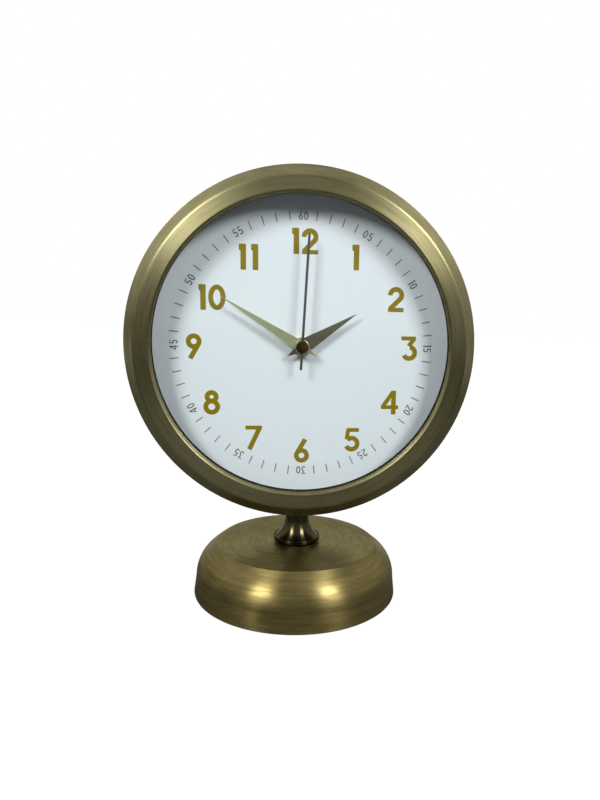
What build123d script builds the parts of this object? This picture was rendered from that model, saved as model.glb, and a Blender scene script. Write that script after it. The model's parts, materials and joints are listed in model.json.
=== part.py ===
from build123d import *
import os
from math import asin, cos, degrees, radians, sin, sqrt

os.makedirs("parts", exist_ok=True)

# A table clock: a round brass case on a turned neck and a round weighted base, with a quartz movement
# behind the dial. Sizes are millimetres. +X is the viewer's right, -Y faces the viewer and +Z is up. The
# origin is the centre of the base where it stands. A depth is a Y value, so the front has negative depths.

# Case
case_diameter = 152.4
case_wall = 2.4
case_front_wall = 1.0
case_rear_y = 16.0
case_rear_round = 4.0
case_rear_thickness = 1.6
case_rear_flange = 16.2
dial_y = -10.5
bezel_bevel_width = 5.2
bezel_band_width = 7.3
bezel_skirt = 4.0
bezel_bevel_depth = 5.6
bezel_band_swell = 0.7
lip_chamfer = 1.2
lip_to_ridge = 1.6
seat_clearance = 0.2

# Dial and glass
lens_thickness = 2.0
lens_gap = 7.2
spacer_width = 5.5
dial_thickness = 1.5

# Back cover
cover_overlap = 7.0
cover_thickness = 1.8
cover_spigot_depth = 2.4
window_size = 63.0
window_corner = 5.0

# Hands
hour_hand_angle = 57.0
minute_hand_angle = 300.0
second_hand_angle = 2.0
hour_hand_length = 28.6
hour_hand_tail = 7.8
hour_hand_half_width = 3.1
minute_hand_length = 42.5
minute_hand_tail = 8.0
minute_hand_half_width = 2.35
hand_widest_at = 2.2
hand_thickness = 0.4
second_hand_length = 48.2
second_hand_tail = 10.0
second_hand_width = 1.1
second_hand_thickness = 0.3
second_cap_radius = 2.7
second_cap_height = 0.8
minute_nut_radius = 3.2
minute_nut_height = 0.6
hand_gap = 0.5

# Movement
movement_size = 56.0
movement_depth = 16.4
movement_corner = 3.0
movement_floor = 0.8
movement_rear = 1.2
movement_wall = 1.2
hub_radius = 3.1
hub_nut_radius = 4.3
hub_nut_height = 2.0
hub_proud = 0.2
mid_plate_depth = 6.0
mid_plate_thickness = 1.0
mid_plate_clearance = 0.2
corner_post = 3.4
running_clearance = 0.06
arbor_radius = 0.4
motion_pin_radius = 0.8
minute_pipe_radius = 1.3
hour_pipe_radius = 2.1
pivot_depth = 0.5
end_play = 0.1

# Wheels: teeth, modules and the shape of a tooth, with the radii following from them
rotor_leaves = 6
intermediate_teeth = 30
intermediate_leaves = 6
seconds_teeth = 36
seconds_leaves = 6
third_teeth = 36
third_leaves = 6
centre_teeth = 60
minute_leaves = 8
motion_teeth = 24
motion_leaves = 8
hour_teeth = 32
knob_leaves = 8
seconds_module = 0.40
rotor_module = 0.40
third_module = 0.44
motion_module = 0.60
addendum = 0.8
dedendum = 1.15
root_half_width = 0.38
wheel_thickness = 0.8
motion_wheel_thickness = 1.0
intermediate_direction = 80.0
rotor_direction = 60.0
third_direction = 0.0
motion_direction = 180.0
knob_direction = 90.0

# Gaps along the depth between the wheels, from the front of the movement to its back
hour_wheel_gap = 0.3
motion_wheel_gap = 0.4
centre_wheel_gap = 0.7
third_wheel_gap = 0.5
seconds_wheel_gap = 0.9
intermediate_wheel_gap = 1.0
leaf_overlap = 0.3
leaf_gap = 0.2

# Setting knob
knob_radius = 5.5
knob_height = 3.0
knob_shaft_radius = 1.2
knob_flutes = 14
knob_flute_depth = 0.5
knob_gap = 0.3

# Step motor and circuit
magnet_radius = 2.6
magnet_height = 2.6
stator_thickness = 0.8
stator_gap = 0.5
stator_lift = 2.3
stator_width = 27.0
stator_leg = 2.6
stator_plate_height = 7.0
core_height = 3.0
core_thickness = 1.0
coil_radius = 3.1
coil_flange = 6.6
coil_flange_thickness = 0.8
coil_tube_wall = 0.5
coil_length = 20.4
coil_height = 22.3
board_width = 12.0
board_height = 11.0
board_thickness = 0.8
board_gap = 1.0

# Battery, size AA
battery_diameter = 14.3
battery_length = 50.3
battery_nub_length = 1.3
battery_nub_radius = 2.6
bay_allowance = 0.6
bay_wall = 0.8
contact_thickness = 0.4
contact_room = 2.9
contact_height = 8.0

# Neck and collar
neck_height = 17.2
neck_top_radius = 5.5
neck_foot_radius = 10.4
neck_foot_height = 0.6
neck_flare_height = 10.0
saddle_clearance = 0.02
collar_radius = 11.0
collar_foot_radius = 9.8
collar_height = 3.0
collar_bowl_height = 1.4
collar_recess = 0.9
collar_rim_clearance = 0.15
rod_radius = 2.5
rod_clearance = 0.2
rod_nut_flat = 8.0
rod_nut_height = 4.0
rod_end = 0.8

# Base
base_radius = 48.0
base_flare = 1.0
base_shoulder_height = 8.8
base_shoulder_radius = 15.0
base_shoulder_angle = 52.5
base_bevel_width = 9.6
base_height = 23.6
base_wall = 1.2
base_rim_height = 0.6
weight_inset = 2.0
weight_recess_radius = 8.0
weight_recess_depth = 8.0
pad_thickness = 2.0
pad_inset = 0.4

# How many flats stand in for a small round and for a thin shaft
round_flats = 3
arbor_sides = 12

# Depths and radii that follow from the sizes above
case_radius = case_diameter / 2
case_seat_radius = case_radius - case_front_wall
case_inner_radius = case_radius - case_wall
case_rear_opening_radius = case_radius - case_rear_flange
cover_radius = case_rear_opening_radius + cover_overlap
bezel_ridge_radius = case_radius - bezel_bevel_width
bezel_lip_radius = bezel_ridge_radius - bezel_band_width
lens_back_y = dial_y - lens_gap
lens_front_y = lens_back_y - lens_thickness
ridge_y = lens_front_y - lip_to_ridge
seam_y = ridge_y + bezel_bevel_depth
dial_back_y = dial_y + dial_thickness
stack_radius = case_seat_radius - seat_clearance
skirt_inner_radius = stack_radius - bezel_skirt
lens_radius = skirt_inner_radius - seat_clearance
spacer_radius = lens_radius - spacer_width
movement_front_y = dial_back_y
movement_back_y = movement_front_y + movement_depth
front_floor_y = movement_front_y + movement_floor
rear_floor_y = movement_back_y - movement_rear
mid_front_y = movement_front_y + mid_plate_depth
mid_back_y = mid_front_y + mid_plate_thickness
parting_y = (mid_front_y + mid_back_y) / 2
movement_width = battery_length + contact_thickness + contact_room + 2 * movement_wall
inside_half = movement_size / 2 - movement_wall
inside_half_width = movement_width / 2 - movement_wall
hub_nut_front_y = dial_y - hub_nut_height
hub_front_y = hub_nut_front_y - hub_proud
hour_hand_back_y = hub_front_y - hand_gap
hour_hand_front_y = hour_hand_back_y - hand_thickness
minute_hand_back_y = hour_hand_front_y - hand_gap
minute_hand_front_y = minute_hand_back_y - hand_thickness
minute_nut_front_y = minute_hand_front_y - minute_nut_height
second_hand_back_y = minute_nut_front_y - hand_gap
second_hand_front_y = second_hand_back_y - second_hand_thickness
hour_bore_radius = minute_pipe_radius + running_clearance
hub_bore_radius = hour_pipe_radius + running_clearance
arbor_bore_radius = arbor_radius + running_clearance
knob_bore_radius = knob_shaft_radius + running_clearance
rod_hole_radius = rod_radius + rod_clearance
case_bottom_z = base_height + neck_height
face_height = case_bottom_z + case_radius
base_side_radius = base_radius - base_flare
base_inner_radius = base_side_radius - base_wall
base_disc_radius = base_side_radius - base_bevel_width
weight_radius = base_disc_radius - weight_inset
collar_top_z = base_height + collar_height
neck_foot_z = collar_top_z - collar_recess

case_axis = Axis((0, 0, face_height), (0, 1, 0))


def face_plane(y):
    """The upright plane at depth y, with +X to the right and +Z up from the dial centre."""
    return Plane(origin=(0, y, face_height), x_dir=(1, 0, 0), z_dir=(0, -1, 0))


section_plane = Plane(origin=(0, 0, face_height), x_dir=(0, 1, 0), z_dir=(1, 0, 0))


def round_bar(back_y, front_y, radius, place=(0, 0), bore=0, mode=Mode.ADD):
    """Adds or cuts a round bar along Y between two depths, with an optional bore."""
    with BuildSketch(face_plane(back_y)) as ring:
        with Locations(place):
            Circle(radius)
            if bore:
                Circle(bore, mode=Mode.SUBTRACT)
    extrude(ring.sketch, amount=back_y - front_y, mode=mode)


def block(back_y, front_y, left, right, low, high, mode=Mode.ADD):
    """Adds or cuts a block between two depths, placed by its edges measured from the dial centre."""
    with BuildSketch(face_plane(back_y)) as side:
        with Locations(((left + right) / 2, (low + high) / 2)):
            Rectangle(right - left, high - low)
    extrude(side.sketch, amount=back_y - front_y, mode=mode)


def polar(angle, distance, start=(0, 0)):
    """The point at an angle and a distance from a start, counter-clockwise from +X seen from the front."""
    return (start[0] + distance * cos(radians(angle)), start[1] + distance * sin(radians(angle)))


def round_points(centre, radius, first_angle, last_angle):
    """The corners of a round made of a few flats, from one angle about its centre to another."""
    step = (last_angle - first_angle) / round_flats
    return [polar(first_angle + number * step, radius, centre) for number in range(round_flats + 1)]


def arbor(back_y, front_y, place=(0, 0)):
    """Adds a thin shaft along Y between two depths, with many flats in place of a round."""
    with BuildSketch(face_plane(back_y)) as shaft:
        with Locations(place):
            RegularPolygon(arbor_radius, arbor_sides)
    extrude(shaft.sketch, amount=back_y - front_y)


def gear(back_y, front_y, teeth, module, tooth_at, place=(0, 0), bore=0):
    """Adds a spur gear with teeth that narrow to their tips, one of them centred at the angle tooth_at."""
    pitch = 360 / teeth
    root = module * (teeth / 2 - dedendum)
    tip = module * (teeth / 2 + addendum)
    outline = []
    for number in range(teeth):
        centre = tooth_at + number * pitch
        outline.append(polar(centre - root_half_width * pitch, root, place))
        outline.append(polar(centre, tip, place))
        outline.append(polar(centre + root_half_width * pitch, root, place))
    with BuildSketch(face_plane(back_y)) as teeth_profile:
        with BuildLine():
            Polyline(*outline, close=True)
        make_face()
        if bore:
            with Locations(place):
                Circle(bore, mode=Mode.SUBTRACT)
    extrude(teeth_profile.sketch, amount=back_y - front_y)


def mate_tooth(teeth, tooth_at, direction, mate_teeth):
    """The angle of one tooth of a mate that lies in a direction from a gear, in mesh with it."""
    share = ((direction - tooth_at) / (360 / teeth)) % 1
    mate_pitch = 360 / mate_teeth
    return direction + 180 + share * mate_pitch + mate_pitch / 2


def save(piece, name):
    """Labels a finished piece and writes it to its file."""
    piece.part.label = name
    export_step(piece.part, f"parts/{name}.step")


# Where the arbors of the movement stand, from the dial centre, and which teeth face each other
third_pinion_module = third_module * (seconds_leaves + third_teeth) / (third_leaves + centre_teeth)
hour_module = motion_module * (minute_leaves + motion_teeth) / (motion_leaves + hour_teeth)
centre_place = (0, 0)
intermediate_reach = seconds_module * (seconds_teeth + intermediate_leaves) / 2
rotor_reach = rotor_module * (intermediate_teeth + rotor_leaves) / 2
third_reach = third_module * (seconds_leaves + third_teeth) / 2
motion_reach = motion_module * (minute_leaves + motion_teeth) / 2
knob_reach = motion_module * (motion_teeth + knob_leaves) / 2
intermediate_place = polar(intermediate_direction, intermediate_reach)
rotor_place = polar(rotor_direction, rotor_reach, intermediate_place)
third_place = polar(third_direction, third_reach)
motion_place = polar(motion_direction, motion_reach)
knob_place = polar(knob_direction, knob_reach, motion_place)
motion_tooth = mate_tooth(minute_leaves, 0, motion_direction, motion_teeth)
knob_tooth = mate_tooth(motion_teeth, motion_tooth, knob_direction, knob_leaves)
hour_tooth = mate_tooth(motion_leaves, 0, motion_direction + 180, hour_teeth)

# Depths of the wheels, from the front of the movement to its back
hour_wheel_front_y = front_floor_y + hour_wheel_gap
hour_wheel_back_y = hour_wheel_front_y + motion_wheel_thickness
motion_wheel_front_y = hour_wheel_back_y + motion_wheel_gap
motion_wheel_back_y = motion_wheel_front_y + motion_wheel_thickness
centre_wheel_front_y = motion_wheel_back_y + centre_wheel_gap
centre_wheel_back_y = centre_wheel_front_y + wheel_thickness
third_wheel_front_y = mid_back_y + third_wheel_gap
third_wheel_back_y = third_wheel_front_y + wheel_thickness
seconds_wheel_front_y = third_wheel_back_y + seconds_wheel_gap
seconds_wheel_back_y = seconds_wheel_front_y + wheel_thickness
intermediate_wheel_front_y = seconds_wheel_back_y + intermediate_wheel_gap
intermediate_wheel_back_y = intermediate_wheel_front_y + wheel_thickness
arbor_back_y = rear_floor_y + pivot_depth - end_play
arbor_front_y = mid_back_y - pivot_depth + end_play

# Bezel: a ring whose front band swells between a ridge and the lip, with a bevel out to the seam and a
# thick skirt that presses the dial into the case
with BuildPart() as bezel:
    with BuildSketch(section_plane):
        with BuildLine():
            lip_start_radius = bezel_lip_radius + lip_chamfer
            Polyline(
                (ridge_y, bezel_ridge_radius),
                (ridge_y - bezel_band_swell, (bezel_ridge_radius + lip_start_radius) / 2),
                (ridge_y, lip_start_radius),
                (ridge_y + lip_chamfer, bezel_lip_radius),
                (lens_front_y, bezel_lip_radius),
                (lens_front_y, skirt_inner_radius),
                (dial_y, skirt_inner_radius),
                (dial_y, stack_radius),
                (seam_y, stack_radius),
                (seam_y, case_radius),
                close=True,
            )
        make_face()
    revolve(axis=case_axis)
save(bezel, "bezel")

# Lens: flat glass behind the lip, and the ring that holds it off the dial
with BuildPart() as lens:
    round_bar(lens_back_y, lens_front_y, lens_radius)
save(lens, "lens")

with BuildPart() as spacer_ring:
    round_bar(dial_y, lens_back_y, lens_radius, bore=spacer_radius)
save(spacer_ring, "spacer_ring")

# Dial: a stiff printed disc
with BuildPart() as dial:
    round_bar(dial_back_y, dial_y, stack_radius, bore=hub_radius + seat_clearance)
save(dial, "dial")

# Case shell: a deep drum, bored out in front for the dial, with a flange round its rear opening
with BuildPart() as case_shell:
    with BuildSketch(section_plane):
        with BuildLine():
            round_centre = (case_rear_y - case_rear_round, case_radius - case_rear_round)
            Polyline(
                (seam_y, case_seat_radius),
                (seam_y, case_radius),
                *round_points(round_centre, case_rear_round, 90, 0),
                (case_rear_y, case_rear_opening_radius),
                (case_rear_y - case_rear_thickness, case_rear_opening_radius),
                (case_rear_y - case_rear_thickness, case_inner_radius),
                (dial_back_y, case_inner_radius),
                (dial_back_y, case_seat_radius),
                close=True,
            )
        make_face()
    revolve(axis=case_axis)
    with BuildSketch(Plane.XY.offset(case_bottom_z - case_wall)):
        Circle(rod_hole_radius)
    extrude(amount=3 * case_wall, mode=Mode.SUBTRACT)
save(case_shell, "case_shell")

# Back cover: a disc with a spigot that presses into the case, and a window over the knob and the battery
with BuildPart() as back_cover:
    round_bar(case_rear_y + cover_thickness, case_rear_y, cover_radius)
    round_bar(case_rear_y, case_rear_y - cover_spigot_depth, case_rear_opening_radius - running_clearance)
    with BuildSketch(face_plane(case_rear_y + cover_thickness)) as window:
        Rectangle(window_size, window_size)
        chamfer(window.vertices(), window_corner)
    extrude(amount=cover_thickness + cover_spigot_depth, mode=Mode.SUBTRACT)
save(back_cover, "back_cover")

# Movement front case: a tray with the threaded hub, posts in its corners and the pin of the motion wheel
battery_radius = battery_diameter / 2
bay_low = -inside_half
bay_high = bay_low + battery_diameter + bay_allowance
battery_v = (bay_low + bay_high) / 2
wheel_room_low = bay_high + bay_wall


def movement_body(back_y, front_y):
    """Adds the outline of the movement, with its corners cut off, between two depths."""
    with BuildSketch(face_plane(back_y)) as outline:
        Rectangle(movement_width, movement_size)
        chamfer(outline.vertices(), movement_corner)
    extrude(outline.sketch, amount=back_y - front_y)


def wheel_room(back_y, front_y):
    """Cuts the room for the wheels between two depths, leaving a square post in each of its corners."""
    narrow = inside_half_width - corner_post
    low = wheel_room_low + corner_post
    high = inside_half - corner_post
    block(back_y, front_y, -narrow, narrow, wheel_room_low, inside_half, Mode.SUBTRACT)
    block(back_y, front_y, -inside_half_width, inside_half_width, low, high, Mode.SUBTRACT)


def open_room(back_y, front_y, low, high):
    """Cuts the movement's whole inner width between two depths and two heights."""
    block(back_y, front_y, -inside_half_width, inside_half_width, low, high, Mode.SUBTRACT)


with BuildPart() as movement_front_case:
    movement_body(parting_y, movement_front_y)
    wheel_room(mid_front_y, front_floor_y)
    open_room(parting_y, mid_front_y, wheel_room_low, inside_half)
    open_room(parting_y, front_floor_y, bay_low, bay_high)
    round_bar(motion_wheel_back_y + end_play, front_floor_y, motion_pin_radius, motion_place)
    round_bar(movement_front_y, hub_front_y, hub_radius)
    round_bar(front_floor_y, hub_front_y, hub_bore_radius, mode=Mode.SUBTRACT)
save(movement_front_case, "movement_front_case")

# Hub nut: a round nut that clamps the movement to the dial
with BuildPart() as hub_nut:
    round_bar(dial_y, hub_nut_front_y, hub_nut_radius, bore=hub_radius)
save(hub_nut, "hub_nut")

# Middle plate: carries the rear arbors in front, with two posts for the stator
stator_front_y = mid_back_y + stator_lift
stator_back_y = stator_front_y + stator_thickness
stator_left = rotor_place[0] - stator_width / 2
stator_right = rotor_place[0] + stator_width / 2
stator_low = rotor_place[1] - stator_plate_height / 2
stator_high = stator_low + stator_plate_height

with BuildPart() as middle_plate:
    block(
        mid_back_y,
        mid_front_y,
        -inside_half_width + mid_plate_clearance,
        inside_half_width - mid_plate_clearance,
        wheel_room_low + mid_plate_clearance,
        inside_half - mid_plate_clearance,
    )
    for left in (stator_left, stator_right - stator_leg):
        block(stator_front_y, mid_back_y, left, left + stator_leg, stator_low, stator_low + stator_leg)
    for place in (centre_place, third_place):
        round_bar(mid_back_y, mid_front_y, arbor_bore_radius, place, mode=Mode.SUBTRACT)
    for place in (intermediate_place, rotor_place):
        round_bar(mid_back_y, mid_back_y - pivot_depth, arbor_bore_radius, place, mode=Mode.SUBTRACT)
    round_bar(mid_back_y, mid_front_y, knob_bore_radius, knob_place, mode=Mode.SUBTRACT)
save(middle_plate, "middle_plate")

# Movement rear case: a cover over the wheels with their rear bearings, open over the battery bay
with BuildPart() as movement_rear_case:
    movement_body(movement_back_y, parting_y)
    open_room(mid_back_y, parting_y, wheel_room_low, inside_half)
    wheel_room(rear_floor_y, mid_back_y)
    open_room(movement_back_y, parting_y, bay_low, bay_high)
    for place in (centre_place, third_place, intermediate_place, rotor_place):
        round_bar(rear_floor_y + pivot_depth, rear_floor_y, arbor_bore_radius, place, mode=Mode.SUBTRACT)
    round_bar(movement_back_y, rear_floor_y, knob_bore_radius, knob_place, mode=Mode.SUBTRACT)
save(movement_rear_case, "movement_rear_case")

# Going train: rotor, intermediate wheel, seconds wheel with its long shaft, third wheel and centre wheel
with BuildPart() as rotor:
    pinion_front_y = intermediate_wheel_front_y - leaf_overlap
    pinion_back_y = intermediate_wheel_back_y + leaf_overlap
    rotor_tooth = mate_tooth(intermediate_teeth, 0, rotor_direction, rotor_leaves)
    arbor(arbor_back_y, arbor_front_y, rotor_place)
    round_bar(pinion_front_y, pinion_front_y - magnet_height, magnet_radius, rotor_place)
    gear(pinion_back_y, pinion_front_y, rotor_leaves, rotor_module, rotor_tooth, rotor_place)
save(rotor, "rotor")

with BuildPart() as intermediate_wheel:
    leaf_tooth = mate_tooth(seconds_teeth, 0, intermediate_direction, intermediate_leaves)
    arbor(arbor_back_y, arbor_front_y, intermediate_place)
    gear(intermediate_wheel_back_y, intermediate_wheel_front_y, intermediate_teeth, rotor_module, 0,
         intermediate_place)
    gear(intermediate_wheel_front_y, seconds_wheel_front_y - leaf_overlap, intermediate_leaves,
         seconds_module, leaf_tooth, intermediate_place)
save(intermediate_wheel, "intermediate_wheel")

with BuildPart() as seconds_wheel:
    arbor(arbor_back_y, second_hand_back_y)
    gear(seconds_wheel_back_y, seconds_wheel_front_y, seconds_teeth, seconds_module, 0)
    gear(seconds_wheel_front_y, third_wheel_front_y - leaf_overlap, seconds_leaves, third_module, 0)
save(seconds_wheel, "seconds_wheel")

with BuildPart() as third_wheel:
    wheel_tooth = mate_tooth(seconds_leaves, 0, third_direction, third_teeth)
    leaf_back_y = centre_wheel_back_y + leaf_overlap
    leaf_front_y = centre_wheel_front_y - leaf_overlap
    arbor(arbor_back_y, leaf_front_y, third_place)
    gear(third_wheel_back_y, third_wheel_front_y, third_teeth, third_module, wheel_tooth, third_place)
    gear(leaf_back_y, leaf_front_y, third_leaves, third_pinion_module, 0, third_place)
save(third_wheel, "third_wheel")

with BuildPart() as centre_wheel:
    wheel_tooth = mate_tooth(third_leaves, 0, third_direction + 180, centre_teeth)
    gear(centre_wheel_back_y, centre_wheel_front_y, centre_teeth, third_pinion_module, wheel_tooth,
         bore=arbor_bore_radius)
save(centre_wheel, "centre_wheel")

# Motion work: minute pipe, motion wheel, hour wheel and the setting knob
with BuildPart() as minute_pipe:
    leaf_front_y = hour_wheel_back_y + leaf_gap
    gear(centre_wheel_front_y, leaf_front_y, minute_leaves, motion_module, 0)
    round_bar(leaf_front_y, minute_nut_front_y, minute_pipe_radius)
    round_bar(centre_wheel_front_y, minute_nut_front_y, arbor_bore_radius, mode=Mode.SUBTRACT)
save(minute_pipe, "minute_pipe")

with BuildPart() as motion_wheel:
    pin_bore = motion_pin_radius + running_clearance
    gear(motion_wheel_back_y, motion_wheel_front_y, motion_teeth, motion_module, motion_tooth, motion_place,
         pin_bore)
    gear(motion_wheel_front_y, front_floor_y + leaf_gap, motion_leaves, hour_module, 0, motion_place,
         pin_bore)
save(motion_wheel, "motion_wheel")

with BuildPart() as hour_wheel:
    gear(hour_wheel_back_y, hour_wheel_front_y, hour_teeth, hour_module, hour_tooth, bore=hour_bore_radius)
    round_bar(hour_wheel_front_y, hour_hand_front_y, hour_pipe_radius, bore=hour_bore_radius)
save(hour_wheel, "hour_wheel")

with BuildPart() as setting_knob:
    knob_front_y = movement_back_y + knob_gap
    round_bar(knob_front_y, motion_wheel_back_y, knob_shaft_radius, knob_place)
    gear(motion_wheel_back_y, motion_wheel_front_y, knob_leaves, motion_module, knob_tooth, knob_place)
    flutes = []
    for number in range(knob_flutes):
        flutes.append(polar(360 * number / knob_flutes, knob_radius, knob_place))
        flutes.append(polar(360 * (number + 0.5) / knob_flutes, knob_radius - knob_flute_depth, knob_place))
    with BuildSketch(face_plane(knob_front_y + knob_height)):
        with BuildLine():
            Polyline(*flutes, close=True)
        make_face()
    extrude(amount=knob_height)
save(setting_knob, "setting_knob")

# Step motor: stator, coil core, bobbin and winding
with BuildPart() as stator:
    block(stator_back_y, stator_front_y, stator_left, stator_right, stator_low, stator_high)
    leg_top = coil_height + core_height / 2
    block(stator_back_y, stator_front_y, stator_left, stator_left + stator_leg, stator_high, leg_top)
    block(stator_back_y, stator_front_y, stator_right - stator_leg, stator_right, stator_high, leg_top)
    round_bar(stator_back_y, stator_front_y, magnet_radius + stator_gap, rotor_place, mode=Mode.SUBTRACT)
save(stator, "stator")

core_low = coil_height - core_height / 2
with BuildPart() as coil_core:
    block(stator_back_y + core_thickness, stator_back_y, stator_left, stator_right, core_low,
          core_low + core_height)
save(coil_core, "coil_core")

coil_left = rotor_place[0] - coil_length / 2
coil_y = stator_back_y + core_thickness / 2
coil_plane = Plane(origin=(coil_left, coil_y, face_height + coil_height), x_dir=(0, 1, 0), z_dir=(1, 0, 0))
core_slot = (core_thickness + 2 * running_clearance, core_height + 2 * running_clearance)
tube_outside = (core_slot[0] + 2 * coil_tube_wall, core_slot[1] + 2 * coil_tube_wall)
with BuildPart() as coil_bobbin:
    for along in (0, coil_length - coil_flange_thickness):
        with BuildSketch(coil_plane.offset(along)):
            Rectangle(coil_flange, coil_flange)
        extrude(amount=coil_flange_thickness)
    with BuildSketch(coil_plane):
        Rectangle(*tube_outside)
    extrude(amount=coil_length)
    with BuildSketch(coil_plane):
        Rectangle(*core_slot)
    extrude(amount=coil_length, mode=Mode.SUBTRACT)
save(coil_bobbin, "coil_bobbin")

with BuildPart() as coil_winding:
    with BuildSketch(coil_plane.offset(coil_flange_thickness)):
        Circle(coil_radius)
        Rectangle(*tube_outside, mode=Mode.SUBTRACT)
    extrude(amount=coil_length - 2 * coil_flange_thickness)
save(coil_winding, "coil_winding")

# Circuit board on the middle plate
board_right = stator_left - board_gap
board_top = inside_half - corner_post
with BuildPart() as circuit_board:
    block(mid_back_y + board_thickness, mid_back_y, board_right - board_width, board_right,
          board_top - board_height, board_top)
save(circuit_board, "circuit_board")

# Battery in its bay, with a plate contact at its positive end and a sprung one at its negative end
battery_y = (front_floor_y + movement_back_y - bay_allowance) / 2
battery_z = face_height + battery_v
battery_right = inside_half_width - contact_thickness
battery_left = battery_right - battery_length
with BuildPart() as battery:
    battery_end = Plane(origin=(battery_left, battery_y, battery_z), x_dir=(0, 1, 0), z_dir=(1, 0, 0))
    with BuildSketch(battery_end):
        Circle(battery_radius)
    extrude(amount=battery_length - battery_nub_length)
    with BuildSketch(battery_end.offset(battery_length)):
        Circle(battery_nub_radius)
    extrude(amount=-battery_nub_length)
save(battery, "battery")

contact_back_y = battery_y + contact_height / 2
contact_face_x = -inside_half_width + contact_thickness
contact_low = battery_v - contact_height / 2
contact_high = battery_v + contact_height / 2
with BuildPart() as positive_contact:
    block(contact_back_y, front_floor_y, battery_right, inside_half_width, contact_low, contact_high)
save(positive_contact, "positive_contact")

with BuildPart() as negative_contact:
    with BuildSketch(Plane.XY.offset(face_height + contact_low)):
        with BuildLine():
            Polyline(
                (-inside_half_width, front_floor_y),
                (-inside_half_width, contact_back_y),
                (battery_left, battery_y + contact_thickness),
                (battery_left, battery_y - contact_thickness),
                (battery_left - contact_thickness, battery_y - contact_thickness),
                (battery_left - contact_thickness, battery_y),
                (contact_face_x, contact_back_y - 2 * contact_thickness),
                (contact_face_x, front_floor_y),
                close=True,
            )
        make_face()
    extrude(amount=contact_height)
save(negative_contact, "negative_contact")


# Hands: flat kites for the hours and minutes, a straight stick for the seconds
def turned(points, clock_angle):
    """Turns points clockwise by an angle from 12 o'clock, as seen from the front."""
    s = sin(radians(clock_angle))
    c = cos(radians(clock_angle))
    return [(x * c + z * s, z * c - x * s) for x, z in points]


def kite_hand(back_y, length, tail, half_width, clock_angle, bore):
    """Adds a flat hand, broadest near the axis, with a long point outwards and a short pointed tail."""
    corners = [(0, length), (half_width, hand_widest_at), (0, -tail), (-half_width, hand_widest_at)]
    outline = turned(corners, clock_angle)
    with BuildSketch(face_plane(back_y)) as hand:
        with BuildLine():
            Polyline(*outline, close=True)
        make_face()
        Circle(bore, mode=Mode.SUBTRACT)
    extrude(hand.sketch, amount=hand_thickness)


with BuildPart() as hour_hand:
    kite_hand(hour_hand_back_y, hour_hand_length, hour_hand_tail, hour_hand_half_width, hour_hand_angle,
              hour_pipe_radius)
save(hour_hand, "hour_hand")

with BuildPart() as minute_hand:
    kite_hand(minute_hand_back_y, minute_hand_length, minute_hand_tail, minute_hand_half_width,
              minute_hand_angle, minute_pipe_radius)
save(minute_hand, "minute_hand")

with BuildPart() as minute_nut:
    round_bar(minute_hand_front_y, minute_nut_front_y, minute_nut_radius, bore=minute_pipe_radius)
save(minute_nut, "minute_nut")

with BuildPart() as second_hand:
    half = second_hand_width / 2
    tip = second_hand_length
    end = -second_hand_tail
    stick = turned([(half, tip), (half, end), (-half, end), (-half, tip)], second_hand_angle)
    with BuildSketch(face_plane(second_hand_back_y)):
        with BuildLine():
            Polyline(*stick, close=True)
        make_face()
    extrude(amount=second_hand_thickness)
save(second_hand, "second_hand")

with BuildPart() as second_cap:
    round_bar(second_hand_front_y, second_hand_front_y - second_cap_height, second_cap_radius)
save(second_cap, "second_cap")

# Neck: a trumpet that flares down into the collar and is hollowed on top to sit on the round case
flare_reach = neck_foot_radius - neck_top_radius
flare_radius = (flare_reach**2 + neck_flare_height**2) / (2 * flare_reach)
flare_angle = 180 + degrees(asin(neck_flare_height / flare_radius))
flare_centre = (neck_top_radius + flare_radius, neck_foot_z + neck_foot_height + neck_flare_height)
uncut_top_z = case_bottom_z + case_front_wall
with BuildPart() as neck:
    with BuildSketch(Plane.XZ):
        with BuildLine():
            Polyline(
                (rod_hole_radius, neck_foot_z),
                (neck_foot_radius, neck_foot_z),
                *round_points(flare_centre, flare_radius, flare_angle, 180),
                (neck_top_radius, uncut_top_z),
                (rod_hole_radius, uncut_top_z),
                close=True,
            )
        make_face()
    revolve(axis=Axis.Z)
    with BuildSketch(face_plane(neck_foot_radius)):
        Circle(case_radius + saddle_clearance)
    extrude(amount=2 * neck_foot_radius, mode=Mode.SUBTRACT)
save(neck, "neck")

# Collar: a shallow cup on the base that the foot of the neck stands in
with BuildPart() as collar:
    with BuildSketch(Plane.XZ):
        with BuildLine():
            Polyline(
                (rod_hole_radius, base_height),
                (collar_foot_radius, base_height),
                (collar_radius, base_height + collar_bowl_height),
                (collar_radius, collar_top_z),
                (neck_foot_radius + collar_rim_clearance, collar_top_z),
                (neck_foot_radius + collar_rim_clearance, neck_foot_z),
                (rod_hole_radius, neck_foot_z),
                close=True,
            )
        make_face()
    revolve(axis=Axis.Z)
save(collar, "collar")

# Base shell: spun over a flat disc, a shallow bevel and a round shoulder, with a flared side
shoulder_centre = (base_side_radius - base_shoulder_radius, base_shoulder_height)
with BuildPart() as base_shell:
    with BuildSketch(Plane.XZ):
        with BuildLine():
            Polyline(
                (base_radius, base_rim_height),
                *round_points(shoulder_centre, base_shoulder_radius, 0, base_shoulder_angle),
                (base_disc_radius, base_height),
                (rod_hole_radius, base_height),
                (rod_hole_radius, base_height - base_wall),
                (base_disc_radius - base_wall, base_height - base_wall),
                (base_inner_radius, base_shoulder_height),
                (base_inner_radius, base_rim_height),
                close=True,
            )
        make_face()
    revolve(axis=Axis.Z)
save(base_shell, "base_shell")

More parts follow.
